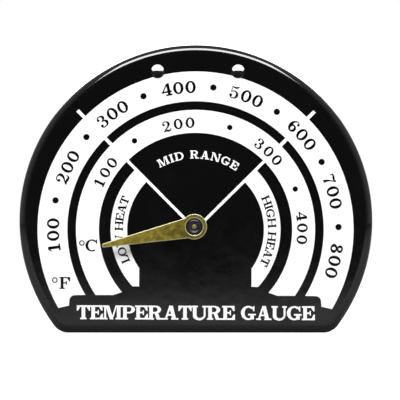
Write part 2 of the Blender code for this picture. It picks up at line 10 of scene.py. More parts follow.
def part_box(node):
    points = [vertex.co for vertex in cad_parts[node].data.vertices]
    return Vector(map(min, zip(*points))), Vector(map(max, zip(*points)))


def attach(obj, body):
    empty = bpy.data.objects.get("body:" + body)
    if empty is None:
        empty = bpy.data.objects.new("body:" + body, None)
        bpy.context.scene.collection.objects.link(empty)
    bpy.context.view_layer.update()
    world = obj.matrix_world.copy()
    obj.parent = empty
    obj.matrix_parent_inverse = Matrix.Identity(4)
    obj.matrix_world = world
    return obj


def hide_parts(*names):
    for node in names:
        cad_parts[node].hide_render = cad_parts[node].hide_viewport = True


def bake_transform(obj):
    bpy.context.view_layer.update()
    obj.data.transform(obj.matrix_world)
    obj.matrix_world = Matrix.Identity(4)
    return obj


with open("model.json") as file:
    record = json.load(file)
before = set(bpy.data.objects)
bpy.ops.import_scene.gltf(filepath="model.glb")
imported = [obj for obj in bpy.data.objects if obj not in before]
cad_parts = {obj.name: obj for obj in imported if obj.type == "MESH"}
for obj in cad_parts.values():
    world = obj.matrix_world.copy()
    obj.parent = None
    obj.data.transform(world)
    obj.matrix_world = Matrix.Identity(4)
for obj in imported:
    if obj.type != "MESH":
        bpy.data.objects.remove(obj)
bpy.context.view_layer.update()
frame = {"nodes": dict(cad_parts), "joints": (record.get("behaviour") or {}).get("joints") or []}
mm = 0.001

# Sizes below are in millimetres, x to the right, z up, and y towards the stove, as the frame has them.
dishLow, dishHigh = [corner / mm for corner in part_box("case_shell")]
joint = frame["joints"][0]
hubX = joint["pos_m"][0] / mm
hubZ = joint["pos_m"][2] / mm


class Wire:  # one output in a shader graph, so that sums on it read as sums
    def __init__(self, finish, socket):
        self.finish = finish
        self.socket = socket

    def maths(self, operation, *values):
        return self.finish.node("ShaderNodeMath", {"operation": operation}, dict(enumerate(values)))

    def __add__(self, other):
        return self.maths("ADD", self, other)

    def __radd__(self, other):
        return self.maths("ADD", other, self)

    def __sub__(self, other):
        return self.maths("SUBTRACT", self, other)

    def __rsub__(self, other):
        return self.maths("SUBTRACT", other, self)

    def __mul__(self, other):
        return self.maths("MULTIPLY", self, other)

    def __rmul__(self, other):
        return self.maths("MULTIPLY", other, self)

    def __truediv__(self, other):
        return self.maths("DIVIDE", self, other)

    def __pow__(self, other):
        return self.maths("POWER", self, other)


class Graph:  # the nodes of a material or of the world
    def __init__(self, owner):
        owner.use_nodes = True
        self.graph = owner.node_tree

    def node(self, kind, settings=None, inputs=None, output=0):
        made = self.graph.nodes.new(kind)
        for key, value in (settings or {}).items():
            if key == "stops":
                self.setStops(made.color_ramp, value)
            else:
                setattr(made, key, value)
        for key, value in (inputs or {}).items():
            self.feed(made.inputs[key], value)
        return Wire(self, made.outputs[output])

    def setStops(self, ramp, stops):
        while len(ramp.elements) < len(stops):
            ramp.elements.new(1)
        for element, (position, shade) in zip(ramp.elements, stops):
            element.position = position
            element.color = (*shade, 1) if isinstance(shade, tuple) else (shade, shade, shade, 1)

    def feed(self, socket, value):
        if isinstance(value, Wire):
            self.graph.links.new(value.socket, socket)
        elif isinstance(value, tuple) and len(value) == 3 and socket.type == "RGBA":
            socket.default_value = (*value, 1)
        else:
            socket.default_value = value

    def ramp(self, value, *stops):
        return self.node("ShaderNodeValToRGB", {"stops": stops}, {"Fac": value})


class Finish(Graph):  # a material on the Principled shader
    def __init__(self, name, **constants):
        self.material = bpy.data.materials.new(name)
        super().__init__(self.material)
        self.shader = self.graph.nodes["Principled BSDF"]
        for socket, value in constants.items():
            self.shader.inputs[socket.replace("_", " ")].default_value = value
        coords = self.node("ShaderNodeTexCoord", output="Object")
        settings = {"operation": "SCALE"}
        self.place = self.node("ShaderNodeVectorMath", settings, {0: coords, "Scale": 1 / mm})

    def axis(self, name):
        return self.node("ShaderNodeSeparateXYZ", inputs={0: self.place}, output=name)

    def stretched(self, scale, turn=0.0):
        inputs = {"Vector": self.place, "Rotation": (0, turn, 0), "Scale": scale}
        return self.node("ShaderNodeMapping", None, inputs)

    def noise(self, scale, detail=2.0, rough=0.5, where=None, distortion=0.0):
        inputs = {"Vector": where or self.place, "Scale": scale, "Detail": detail}
        inputs |= {"Roughness": rough, "Distortion": distortion}
        return self.node("ShaderNodeTexNoise", None, inputs)

    def blend(self, factor, first, second):
        return self.node("ShaderNodeMix", {"data_type": "RGBA"}, {0: factor, 6: first, 7: second}, output=2)

    def bump(self, height, strength, depth, under=None):
        inputs = {"Height": height, "Strength": strength, "Distance": depth * mm}
        if under:
            inputs["Normal"] = under
        return self.node("ShaderNodeBump", None, inputs)

    def fromHub(self):
        across = self.axis("X") - hubX
        up = self.axis("Z") - hubZ
        return (across * across + up * up) ** 0.5

    def wear(self, **inputs):
        for socket, value in inputs.items():
            self.feed(self.shader.inputs[socket.replace("_", " ")], value)
        return self.material


def enamelFinish(name, deep, shallow, specular):
    made = Finish(name, IOR=1.5, Specular_IOR_Level=specular)
    cloud = made.noise(0.05, 3)
    smear = made.noise(0.16, 5, 0.6, distortion=0.6)
    dust = made.ramp(made.noise(3.1, 2), (0.70, 0.0), (0.78, 1.0))
    black = made.blend(cloud, deep, shallow)
    black = made.blend(dust * 0.10, black, (0.09, 0.09, 0.085))
    worn = made.noise(0.9, 6, 0.7) + made.axis("Y") * 1.1 + 0.02
    worn = made.ramp(worn, (0.50, 0.0), (0.56, 1.0))
    black = made.blend(worn, black, (0.22, 0.21, 0.20))
    peel = made.noise(0.42, 2, 0.4)
    pits = made.noise(2.3, 3, 0.6)
    skin = made.bump(peel, 0.6, 0.010)
    skin = made.bump(pits * 0.3 - worn * 0.8, 0.3, 0.006, skin)
    rough = made.ramp(smear, (0.35, 0.035), (0.75, 0.12))
    rough = rough + dust * 0.2 + worn * 0.3
    return made.wear(Base_Color=black, Roughness=rough, Metallic=worn * 0.8, Normal=skin)


def inkFinish():
    made = Finish("white dial ink", IOR=1.45)
    cloud = made.noise(0.11, 4, 0.6)
    grain = made.noise(4.5, 3, 0.6)
    white = made.blend(cloud, (0.87, 0.88, 0.87), (0.93, 0.93, 0.92))
    thin = made.ramp(made.noise(1.4, 5, 0.7), (0.66, 0.0), (0.74, 1.0))
    white = made.blend(thin * 0.35, white, (0.55, 0.55, 0.55))
    rough = made.ramp(grain, (0.3, 0.30), (0.7, 0.46))
    return made.wear(Base_Color=white, Roughness=rough, Normal=made.bump(grain, 0.35, 0.006))


def bladeFinish(turn):
    made = Finish("brushed pointer brass")
    along = made.stretched((0.35, 6, 6), turn)
    brushed = made.noise(2.0, 4, 0.65, along)
    cloud = made.noise(0.55, 5, 0.68, distortion=0.5)
    spots = made.ramp(made.noise(1.1, 4, 0.6), (0.52, 0.0), (0.66, 1.0))
    olive, middle, straw = (0.25, 0.19, 0.025), (0.42, 0.34, 0.045), (0.62, 0.52, 0.075)
    brass = made.ramp(cloud, (0.34, olive), (0.50, middle), (0.66, straw))
    brass = made.blend(brushed * 0.35, brass, (0.66, 0.56, 0.12))
    brass = made.blend(spots * 0.55, brass, (0.26, 0.165, 0.045))
    # darker towards the hub
    nearHub = made.ramp(made.fromHub() / blade["length"], (0.1, 0.6), (0.5, 0.0))
    brass = made.blend(nearHub, brass, (0.17, 0.13, 0.03))
    rough = made.ramp(cloud + brushed * 0.4, (0.4, 0.30), (0.95, 0.50))
    lines = made.bump(brushed, 0.5, 0.012)
    return made.wear(Base_Color=brass, Metallic=1.0, Roughness=rough + spots * 0.12, Normal=lines)


# pale brass for the pointer's rounded edges and the flat margin beside them: a painted highlight
def edgeHighlightFinish():
    made = Finish("brass edge with painted highlight")
    cloud = made.noise(0.9, 4, 0.65)
    fine = made.noise(6, 3, 0.6)
    bright = made.blend(cloud, (0.62, 0.55, 0.26), (0.90, 0.86, 0.58))
    rough = made.ramp(fine, (0.3, 0.34), (0.7, 0.50))
    grain = made.bump(fine, 0.3, 0.006)
    return made.wear(Base_Color=bright, Metallic=0.75 + cloud * 0.2, Roughness=rough, Normal=grain)


def turnedFinish(name, light, dark, rough):
    made = Finish(name)
    lathe = made.node("ShaderNodeCombineXYZ", None, {0: made.fromHub(), 1: made.axis("Y")})
    rings = made.noise(9.0, 2, 0.5, lathe)
    cloud = made.noise(0.8, 4, 0.6)
    shade = made.blend(cloud, dark, light)
    shade = made.blend(rings * 0.25, shade, dark)
    spread = made.ramp(cloud, (0.3, rough), (0.75, rough + 0.16))
    return made.wear(Base_Color=shade, Metallic=1.0, Roughness=spread, Normal=made.bump(rings, 0.5, 0.010))


def platedFinish():
    made = Finish("zinc plated sheet")
    rolled = made.noise(1.2, 5, 0.7, made.stretched((5, 5, 0.35)))
    cloud = made.noise(0.22, 4, 0.6, distortion=0.5)
    blue, plain, straw = (0.44, 0.46, 0.50), (0.60, 0.61, 0.61), (0.62, 0.58, 0.48)
    zinc = made.ramp(cloud, (0.30, blue), (0.52, plain), (0.75, straw))
    bloom = made.ramp(made.noise(1.1, 5, 0.7), (0.60, 0.0), (0.72, 1.0))
    zinc = made.blend(bloom * 0.35, zinc, (0.78, 0.78, 0.76))
    rough = made.ramp(cloud + rolled * 0.4, (0.4, 0.24), (1.0, 0.46))
    grain = made.bump(rolled, 0.4, 0.012)
    rough = rough + bloom * 0.15
    return made.wear(Base_Color=zinc, Metallic=1.0 - bloom * 0.3, Roughness=rough, Normal=grain)


def ferriteFinish():
    made = Finish("sintered ferrite")
    grain = made.noise(5.5, 4, 0.7)
    cloud = made.noise(0.5, 5, 0.65)
    ground = made.noise(1.5, 3, 0.6, made.stretched((0.25, 4, 7)))
    dark = made.blend(cloud, (0.026, 0.026, 0.028), (0.060, 0.058, 0.057))
    chips = made.ramp(made.noise(0.95, 4, 0.6), (0.66, 0.0), (0.70, 1.0))
    dark = made.blend(chips * 0.7, dark, (0.014, 0.014, 0.015))
    rough = made.ramp(ground, (0.3, 0.42), (0.7, 0.66))
    skin = made.bump(grain * 0.5 + ground * 0.5 - chips * 0.6, 0.6, 0.03)
    return made.wear(Base_Color=dark, Metallic=0.15, Roughness=rough + chips * 0.15, Normal=skin)


def stripFinish(name, cool, warm):
    made = Finish(name)
    radius = made.fromHub()
    rolled = made.noise(2.2, 4, 0.6, made.stretched((0.5, 7, 0.5)))
    cloud = made.noise(0.45, 4, 0.6)
    tint = made.ramp(radius / 13 + cloud * 0.35, (0.25, warm), (0.95, cool))  # cool from about 13 mm out
    stain = made.ramp(made.noise(1.3, 4, 0.65), (0.58, 0.0), (0.70, 1.0))
    tint = made.blend(stain * 0.4, tint, (0.20, 0.15, 0.12))
    rough = made.ramp(rolled, (0.3, 0.20), (0.7, 0.40)) + stain * 0.15
    grain = made.bump(rolled, 0.4, 0.008)
    return made.wear(Base_Color=tint, Metallic=1.0, Roughness=rough, Normal=grain)


print("finishes")
enamel = enamelFinish("gloss black enamel", (0.0008, 0.0008, 0.0011), (0.0020, 0.0020, 0.0024), 1.0)
# a darker copy of the case enamel for the rivet heads: painted shade that offsets the rivet lamp
rivetDarkenedBlack = enamelFinish("gloss black enamel darkened for the rivet lamp", (0.0001,) * 3, (0.0003,) * 3, 0.4)
ink = inkFinish()
plated = platedFinish()
ferrite = ferriteFinish()
brass = turnedFinish("turned brass", (0.80, 0.68, 0.26), (0.58, 0.46, 0.15), 0.24)
blackSteel = turnedFinish("blackened steel", (0.125, 0.110, 0.135), (0.055, 0.048, 0.062), 0.22)
steel = turnedFinish("plated steel", (0.62, 0.62, 0.60), (0.46, 0.46, 0.45), 0.26)
ironSide = stripFinish("bimetal steel side", (0.52, 0.51, 0.49), (0.44, 0.40, 0.42))
brassSide = stripFinish("bimetal brass side", (0.56, 0.47, 0.33), (0.46, 0.33, 0.30))


def arc(x, y, radius, start, end, steps):
    turns = [math.radians(start + (end - start) * i / steps) for i in range(steps + 1)]
    return [(x + radius * math.cos(a), y + radius * math.sin(a)) for a in turns]


def circle(x, y, radius, steps=48):
    return arc(x, y, radius, 0, 360, steps)[:-1]


def bridge(shape, loops, closed=False):
    # quads between one loop of points and the next
    rings = [[shape.verts.new([v * mm for v in point]) for point in loop] for loop in loops]
    pairs = list(zip(rings, rings[1:]))
    if closed:
        pairs.append((rings[-1], rings[0]))
    for near, far in pairs:
        for i in range(len(near)):
            j = (i + 1) % len(near)
            shape.faces.new((near[i], near[j], far[j], far[i]))


def paint(layers):
    # flat triangles of closed outlines laid over each other
    # each layer is (outline, adds), and a later one wins
    points, outlines = [], []
    for outline, adds in layers:
        outlines.append(list(range(len(points), len(points) + len(outline))))
        twice = sum(a[0] * b[1] - b[0] * a[1] for a, b in zip(outline, outline[1:] + outline[:1]))
        points += [Vector(point) for point in (outline if twice > 0 else outline[::-1])]
    found = delaunay_2d_cdt(points, [], outlines, 1, 1e-5, True)
    places, triangles, owners = found[0], found[2], found[5]
    kept = [t for t, owned in zip(triangles, owners) if owned and layers[max(owned)][1]]
    return places, kept


def plant(shape, places, triangles, y):
    # a vertex at that depth for every point that the triangles use
    used = sorted({i for triangle in triangles for i in triangle})
    return {i: shape.verts.new((places[i].x * mm, y * mm, places[i].y * mm)) for i in used}


def flatFill(shape, layers, y):
    places, triangles = paint(layers)
    made = plant(shape, places, triangles, y)
    for triangle in triangles:
        shape.faces.new([made[i] for i in triangle])


def addPiece(name, shape, finishes, body, replaced=(), crease=35):
    bmesh.ops.remove_doubles(shape, verts=shape.verts, dist=1e-6)
    bmesh.ops.recalc_face_normals(shape, faces=shape.faces)
    mesh = bpy.data.meshes.new(name)
    shape.to_mesh(mesh)
    shape.free()
    mesh.shade_smooth()
    mesh.set_sharp_from_angle(angle=math.radians(crease))
    for finish in finishes:
        mesh.materials.append(finish)
    piece = bpy.data.objects.new(name, mesh)
    bpy.context.scene.collection.objects.link(piece)
    if body:
        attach(piece, body)
    if replaced:
        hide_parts(*replaced)
    return piece


def turned(name, profile, x, z, finish, body, replaced=(), steps=96):
    # a turned piece about the y axis through x, z
    # the profile of (radius, y) starts and ends on the axis, or it is a ring
    shape = bmesh.new()
    ring = profile[0][0] > 0
    loops = [[(px, y, pz) for px, pz in circle(x, z, max(radius, 1e-4), steps)] for radius, y in profile]
    bridge(shape, loops, closed=ring)
    return addPiece(name, shape, [finish], body, replaced)


print("dish")
dish = {
    "archRadius": 44.98,
    "archCentre": 45.0,  # down from the top
    "archSteps": 200,
    "cornerRadius": 4.6,
    "cornerSteps": 12,
    "footSteps": 20,
    "sheet": 0.8,
    "bend": 2.0,  # outer radius between the dial and the skirt
    "support": 0.15,  # flat margin inside the bend
    "lip": 0.38,  # rounding of the rear rim
    "bushHole": 2.35,
    "rivetHole": 1.25,
}
archZ = dishHigh.z - dish["archCentre"]
footDrop = archZ - dishLow.z
dialY = dishLow.y
rivetBoxes = {side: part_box(f"bracket_rivet_{side}") for side in ("left", "right")}
rivetSpots = {side: (low + high) / 2 / mm for side, (low, high) in rivetBoxes.items()}


def dishOutline(inset):
    drop = footDrop - dish["cornerRadius"]
    out = math.sqrt((dish["archRadius"] - dish["cornerRadius"]) ** 2 - drop**2)
    low = math.degrees(-math.atan2(drop, out))
    corner, steps = dish["cornerRadius"] - inset, dish["cornerSteps"]
    points = arc(out, archZ - drop, corner, -90, low, steps)
    points += arc(0, archZ, dish["archRadius"] - inset, low, 180 - low, dish["archSteps"])[1:]
    points += arc(-out, archZ - drop, corner, 180 - low, 270, steps)[1:]
    foot, steps = points[-1][1], dish["footSteps"]
    return points + [(-out + 2 * out * i / steps, foot) for i in range(1, steps)]


def dishHoles():
    holes = [circle(hubX, hubZ, dish["bushHole"])]
    return holes + [circle(spot.x, spot.z, dish["rivetHole"], 32) for spot in rivetSpots.values()]


def bendAngles(steps):
    return [math.pi / 2 * i / steps for i in range(steps + 1)]


def dishBend(radius, steps):
    # (inset, y) from the dial round to the skirt
    bend = dish["bend"]
    return [(bend - radius * math.sin(a), dialY + bend - radius * math.cos(a)) for a in bendAngles(steps)]


def buildDish():
    bend, sheet, lip = dish["bend"], dish["sheet"], dish["lip"]
    turns = [math.radians(a) for a in range(0, 181, 20)]
    rim = [(sheet / 2 - lip * math.cos(a), -lip + lip * math.sin(a)) for a in turns]
    edge = bend + dish["support"]
    stations = [(edge, dialY)] + dishBend(bend, 16) + rim
    stations += dishBend(bend - sheet, 12)[::-1] + [(edge, dialY + sheet)]
    shape = bmesh.new()
    bridge(shape, [[(x, y, z) for x, z in dishOutline(inset)] for inset, y in stations])
    layers = [(dishOutline(edge), True)] + [(hole, False) for hole in dishHoles()]
    flatFill(shape, layers, dialY)
    flatFill(shape, layers, dialY + sheet)
    for hole in dishHoles():
        bridge(shape, [[(x, y, z) for x, z in hole] for y in (dialY, dialY + sheet)])
    return addPiece("enamelDish", shape, [enamel], "case", ["case_shell"])


buildDish()


def bar(x0, y0, x1, y1):
    return [(x0, y0), (x1, y0), (x1, y1), (x0, y1)]


def leg(x0, y0, x1, y1, wide):
    return [(x0 - wide / 2, y0), (x0 + wide / 2, y0), (x1 + wide / 2, y1), (x1 - wide / 2, y1)]


def bow(x, y, rx, ry, side, cap, start, end, steps=20):
    # part of an oval stroke, thick at its sides and thin at its top and foot
    turns = [math.radians(start + (end - start) * i / steps) for i in range(steps + 1)]
    outer = [(x + rx * math.cos(a), y + ry * math.sin(a)) for a in turns]
    inner = [(x + (rx - side) * math.cos(a), y + (ry - cap) * math.sin(a)) for a in turns]
    return outer + inner[::-1]


def oval(x, y, rx, ry, side, cap):
    return [bow(x, y, rx, ry, side, cap, -90, 90), bow(x, y, rx, ry, side, cap, 90, 270)]


def curve(before, start, end, after, t):
    # Catmull-Rom, a share t of the way from start to end
    square = 2 * before - 5 * start + 4 * end - after
    cube = 3 * start - before - 3 * end + after
    return 0.5 * (2 * start + (end - before) * t + square * t * t + cube * t**3)


def headings(path):
    # at every point, the step from the one before to the one after, and its length
    made = []
    for before, after in zip(path[:1] + path, path[1:] + path[-1:]):
        across, up = after[0] - before[0], after[1] - before[1]
        made.append((across, up, math.hypot(across, up)))
    return made


def sweep(*points, fine=6):
    # a pen stroke through (x, y, width), smooth from point to point
    ends = [points[0], *points, points[-1]]
    path = []
    for four in zip(ends, ends[1:], ends[2:], ends[3:]):
        path += [[curve(*values, i / fine) for values in zip(*four)] for i in range(fine)]
    path.append(list(points[-1]))
    left, right = [], []
    for (x, y, wide), (dx, dy, size) in zip(path, headings(path)):
        reach = wide / 2 / size
        left.append((x - dy * reach, y + dx * reach))
        right.append((x + dy * reach, y - dx * reach))
    return left + right[::-1]


def slabLetters(k, t, o=10):
    # letters 100 high, each as (width, outlines), with thick strokes k and thin strokes t
    # their serifs reach out by o
    m = k * 0.52  # the lighter upright of a letter that has two

    def post(x, wide=k, foot=True, head=True):
        made = [bar(x, 0, x + wide, 100)]
        made += [bar(x - o, 0, x + wide + o, t)] if foot else []
        return made + ([bar(x - o, 100 - t, x + wide + o, 100)] if head else [])

    def beak(x, y, reach, side):
        # the tall wedge at the end of an arm; reach is up or down, and side is where the arm comes from
        return [(x, y), (x, y + reach), (x + side * 8, y + reach), (x + side * 25, y)]

    def arms(w):
        made = post(o) + [bar(o + k, 100 - t, w - 3, 100), beak(w - 3, 100 - t, -26, -1)]
        return made + [bar(o + k, 50 - t / 2, w - 32, 50 + t / 2), bar(w - 38, 33, w - 38 + t * 0.8, 67)]

    def foot(w):
        return [bar(o + k, 0, w, t), beak(w, t, 29, -1)]

    bowl = [bar(o + k, 100 - t, 52, 100), bar(o + k, 43, 52, 43 + t), bow(52, 71.5, 44, 28.5, k, t, -90, 90)]
    hook = [bow(54, 50, 54, 51, k, t * 1.1, 47, 180), bow(54, 50, 54, 51, k, t * 1.1, 180, 305)]
    hook += [bar(90, 62, 90 + t * 0.7, 99), [(78, 84), (92, 100), (92, 66)]]
    return {
        " ": (44, []),
        "A": (112, [
            leg(18, 0, 53, 100, m), leg(112 - o - k * 0.75, 0, 57, 100, k * 1.06),
            bar(30, 28, 78, 28 + t), bar(0, 0, 36, t), bar(106 - k - 2 * o, 0, 112, t),
        ]),
        "C": (102, hook),
        "D": (110, post(o) + [
            bar(o + k, 100 - t, 50, 100), bar(o + k, 0, 50, t), bow(50, 50, 60, 50, k, t, -90, 90),
        ]),
        "E": (94, arms(94) + foot(94)),
        "F": (90, arms(92)),
        "G": (110, hook + [bar(104 - k - o, 4, 104 - o, 44), bar(98 - k - 2 * o, 44 - t, 108, 44)]),
        "H": (118, post(o) + post(118 - o - k) + [bar(o + k, 50 - t / 2, 118 - o - k, 50 + t / 2)]),
        "I": (k + 2 * o, post(o)),
        "L": (88, post(o) + foot(88)),
        "M": (138, post(o, m) + post(138 - o - k) + [
            leg(o + m + k * 0.3, 100, 64, 0, k), leg(66, 0, 134 - o - k, 100, m * 0.8),
        ]),
        "N": (116, post(o, m) + post(116 - o - m, m, foot=False) + [
            leg(o + k * 0.55, 100, 114 - o - m, 0, k * 1.15),
        ]),
        "O": (108, oval(54, 50, 54, 51, k, t * 1.1)),
        "P": (96, post(o) + bowl),
        "R": (110, post(o) + bowl + [leg(60, 50, 104 - k, 0, k), bar(90 - k, 0, 110, t)]),
        "T": (96, post(48 - k / 2, head=False) + [
            bar(0, 100 - t, 96, 100), beak(96, 100 - t, -27, -1), beak(0, 100 - t, -27, 1),
        ]),
        "U": (112, [
            bar(o, 40, o + k, 100), bar(0, 100 - t, k + 2 * o, 100),
            bar(102 - m, 40, 102, 100), bar(92 - m, 100 - t, 112, 100),
            sweep((o + k / 2, 44, k), (o + k / 2 + 3, 20, k), (48, 5, t * 1.5),
                  (74, 7, t * 1.4), (100 - m / 2, 24, m), (102 - m / 2, 44, m)),
        ]),
        "W": (156, [
            leg(o + k * 0.6, 100, 50, 0, k), leg(54, 0, 78, 100, m),
            leg(80, 100, 106, 0, k), leg(110, 0, 146 - m / 2, 100, m),
            bar(0, 100 - t, k + 2 * o, 100), bar(60, 100 - t, 98, 100), bar(130 - m, 100 - t, 156, 100),
        ]),
    }


def numerals(k, t):
    # figures on the same terms, with a ball at the end of an open stroke
    def ball(x, y, r):
        return circle(x, y, r, 18)

    return {
        "0": (84, oval(42, 50, 42, 50, k, t)),
        "1": (56, [bar(20, 0, 20 + k, 100), bar(4, 0, 58, t), [(20, 100), (20, 82), (2, 66), (2, 74)]]),
        "2": (80, [
            ball(17, 70, 12),
            sweep((8, 72, 7), (18, 91, 10), (40, 96, 10), (60, 85, 18),
                  (64, 69, k), (56, 50, 18), (34, 30, 12), (9, 11, 9)),
            sweep((5, 5, 9), (22, 12, 16), (42, 10, 21), (60, 7, 17), (72, 14, 11), (77, 30, 6)),
        ]),
        "3": (80, [
            ball(17, 76, 11),
            sweep((9, 80, 7), (22, 94, 10), (40, 96, 10), (57, 86, 17),
                  (60, 73, k), (52, 58, 14), (32, 52, 9)),
            sweep((32, 52, 9), (54, 47, 13), (65, 29, k), (57, 10, 15), (38, 4, 10), (18, 8, 9), (8, 20, 7)),
            ball(15, 24, 12),
        ]),
        "4": (86, [
            bar(50, 0, 50 + k, 100), bar(34, 0, 86, t), bar(2, 26, 84, 26 + t),
            [(1, 26), (14, 26), (60, 92), (60, 100), (52, 100)],
        ]),
        "5": (78, [
            sweep((13, 94, 7), (32, 88, 13), (52, 91, 15), (68, 101, 5)), bar(10, 48, 17, 96),
            sweep((13, 50, 7), (30, 60, 9), (48, 58, 13), (62, 43, 19), (63, 28, k),
                  (55, 11, 16), (38, 4, 10), (18, 8, 9), (8, 19, 7)),
            ball(15, 24, 12),
        ]),
        "6": (82, [
            sweep((70, 82, 7), (60, 94, 9), (44, 95, 9), (24, 78, 17),
                  (16, 50, k), (20, 24, 19), (34, 7, 11)),
            ball(66, 80, 11), *oval(43, 31, 34, 31, k * 0.95, t),
        ]),
        "7": (80, [
            bar(3, 68, 10, 98), sweep((6, 82, 6), (16, 91, 13), (34, 90, 17), (54, 86, 16), (73, 97, 7)),
            sweep((74, 96, 7), (56, 66, 10), (42, 36, 16), (37, 2, k)),
        ]),
        "8": (80, oval(40, 75, 31, 25, k * 0.85, t) + oval(40, 27, 37, 28, k, t)),
    }


print("dial print")
dial = {
    "x": -0.09,
    "z": -25.7,
    "tilt": -0.25,  # degrees, of the whole print on the dial
    "size": 99.7,  # per cent of the lengths below
    "thick": 0.03,
    "sunk": 0.01,  # into the enamel
    "rings": [(40.36, 32.75), (30.54, 24.69), (21.70, 17.47)],
    "zone": (45, 135),  # angles of the two lines round the middle word
    "zoneRadii": (12, 23),  # enamel behind that word
    "line": (2, 25.2, 0.73),  # near end, far end, width
    "ticks": [(30.0, 33.2, 0.87), (39.8, 42.8, 0.87)],
    "clear": [(-18, -25, 18, -14.6), (-14.35, -25, 14.35, -4)],  # enamel below the rings
    "bevel": [(21, -16.85), (18.2, -15.9), (17, -17.4), (21, -17.4)],  # enamel, on both sides
    "panel": [(44, -22.2), (32.25, -19.6)],  # right side of the enamel round the title
    "panelRound": (30.75, -18.3, 1.4),
    "panelTop": (28.3, -16.85),
    "panelFoot": (44, -46),
    "degreeSign": (0.72, 0.42),
}
strokes = {  # thick and thin, per cent of the height
    "numbers": (24, 14),
    "words": (24, 12),
    "title": (26, 11),
    "units": (24, 11),
}
fahrenheit = {
    "radius": 36.4, "high": 3.2, "advance": 3.14, "dot": 0.815, "dotRadius": 36.53,
    "labels": {
        "100": 182.8, "200": 154.4, "300": 126, "400": 97.2,
        "500": 69.4, "600": 41.9, "700": 15.7, "800": -12.5,
    },
    "dots": [168.5, 140, 111.6, 83.1, 55.6, 28.4, 1.2],
}
celsius = {
    "radius": 27.3, "high": 2.75, "advance": 3.05, "dot": 0.7, "dotRadius": 27.49,
    "labels": {"100": 148.1, "200": 99.6, "300": 47.1, "400": 1.1},
    "dots": [124.8, 71.7, 22.3],
}
words = [  # text, radius of its middle, start and end angles, height, printed in white
    ("MID RANGE", 19.16, 120, 56, 2.09, True),
    ("LOW HEAT", 19.57, 206, 155, 2.15, False),
    ("HIGH HEAT", 19.57, 26, -28, 2.15, False),
]
title = {"text": "TEMPERATURE GAUGE", "left": -30.23, "right": 30.57, "foot": -23.05, "high": 3.55}
units = [("F", -33.32, -13.81, 3.07), ("C", -26.55, -4.2, 3.07)]
degreeSigns = [(-35.88, -13.09), (-29.0, -3.59)]


def set2d(outline, x, z, size, turn=0.0, stretch=1.0):
    # a glyph outline of 100 units, centred on its own origin, put on the dial
    cosine, sine = math.cos(math.radians(turn)), math.sin(math.radians(turn))
    scaled = [(px * size * stretch / 100, py * size / 100) for px, py in outline]
    return [(x + px * cosine - py * sine, z + px * sine + py * cosine) for px, py in scaled]


def putGlyph(layers, glyph, x, z, size, turn, white, stretch=1.0):
    width, outlines = glyph
    for outline in outlines:
        centred = [(px - width / 2, py - 50) for px, py in outline]
        layers.append((set2d(centred, x, z, size, turn, stretch), white))


def onRing(radius, angle):
    return arc(0, 0, radius, angle, angle, 1)[0]


def ringNumbers(layers, scale):
    glyphs = numerals(*strokes["numbers"])
    step = math.degrees(scale["advance"] / scale["radius"])
    for text, middle in scale["labels"].items():
        for i, digit in enumerate(text):
            angle = middle + (1 - i) * step
            x, z = onRing(scale["radius"], angle)
            putGlyph(layers, glyphs[digit], x, z, scale["high"], angle - 90, False)
    for angle in scale["dots"]:
        x, z = onRing(scale["dotRadius"], angle)
        layers.append((circle(x, z, scale["dot"], 24), False))


def ringWord(layers, text, radius, start, end, high, white):
    glyphs = slabLetters(*strokes["words"])
    widths = [glyphs[letter][0] * high / 100 for letter in text]
    room = math.radians(start - end) * radius
    gap = (room - sum(widths)) / (len(text) - 1)
    along = 0
    for letter, width in zip(text, widths):
        angle = start - math.degrees((along + width / 2) / radius)
        x, z = onRing(radius, angle)
        putGlyph(layers, glyphs[letter], x, z, high, angle - 90, white)
        along += width + gap


def straightTitle(layers):
    glyphs = slabLetters(*strokes["title"])
    size = title["high"] / 100
    natural = sum(glyphs[letter][0] for letter in title["text"]) * size
    stretch = (title["right"] - title["left"]) / natural
    middle = title["foot"] + title["high"] / 2
    x = title["left"]
    for letter in title["text"]:
        width = glyphs[letter][0] * size * stretch
        putGlyph(layers, glyphs[letter], x + width / 2, middle, title["high"], 0, True, stretch)
        x += width


def spoke(angle, near, far, wide):
    return set2d(bar(near, -wide / 2, far, wide / 2), 0, 0, 100, angle)


def dialRings():
    layers = []
    for outer, inner in dial["rings"]:
        layers += [(circle(0, 0, outer, 240), True), (circle(0, 0, inner, 200), False)]
    low, high = dial["zone"]
    near, far = dial["zoneRadii"]
    layers.append((arc(0, 0, far, low, high, 24) + arc(0, 0, near, high, low, 12), False))
    for angle in dial["zone"]:
        layers += [(spoke(angle, *line), True) for line in [dial["line"], *dial["ticks"]]]
    layers += [(bar(*corners), False) for corners in dial["clear"]]
    for side in (-1, 1):
        layers.append(([(side * x, z) for x, z in dial["bevel"]], False))
    panel = dial["panel"] + arc(*dial["panelRound"], 0, 90, 6) + [dial["panelTop"]]
    panel += [(-x, z) for x, z in panel[::-1]]
    x, z = dial["panelFoot"]
    return layers + [(panel + [(-x, z), (x, z)], False)]


def printLayers():
    layers = dialRings()
    ringNumbers(layers, fahrenheit)
    ringNumbers(layers, celsius)
    for word in words:
        ringWord(layers, *word)
    straightTitle(layers)
    letters = slabLetters(*strokes["units"])
    for letter, x, z, high in units:
        putGlyph(layers, letters[letter], x, z, high, 0, False)
    outer, inner = dial["degreeSign"]
    for x, z in degreeSigns:
        layers += [(circle(x, z, outer, 24), False), (circle(x, z, inner, 24), True)]
    whole = dial["x"], dial["z"], dial["size"], dial["tilt"]
    return [(set2d(outline, *whole), adds) for outline, adds in layers]


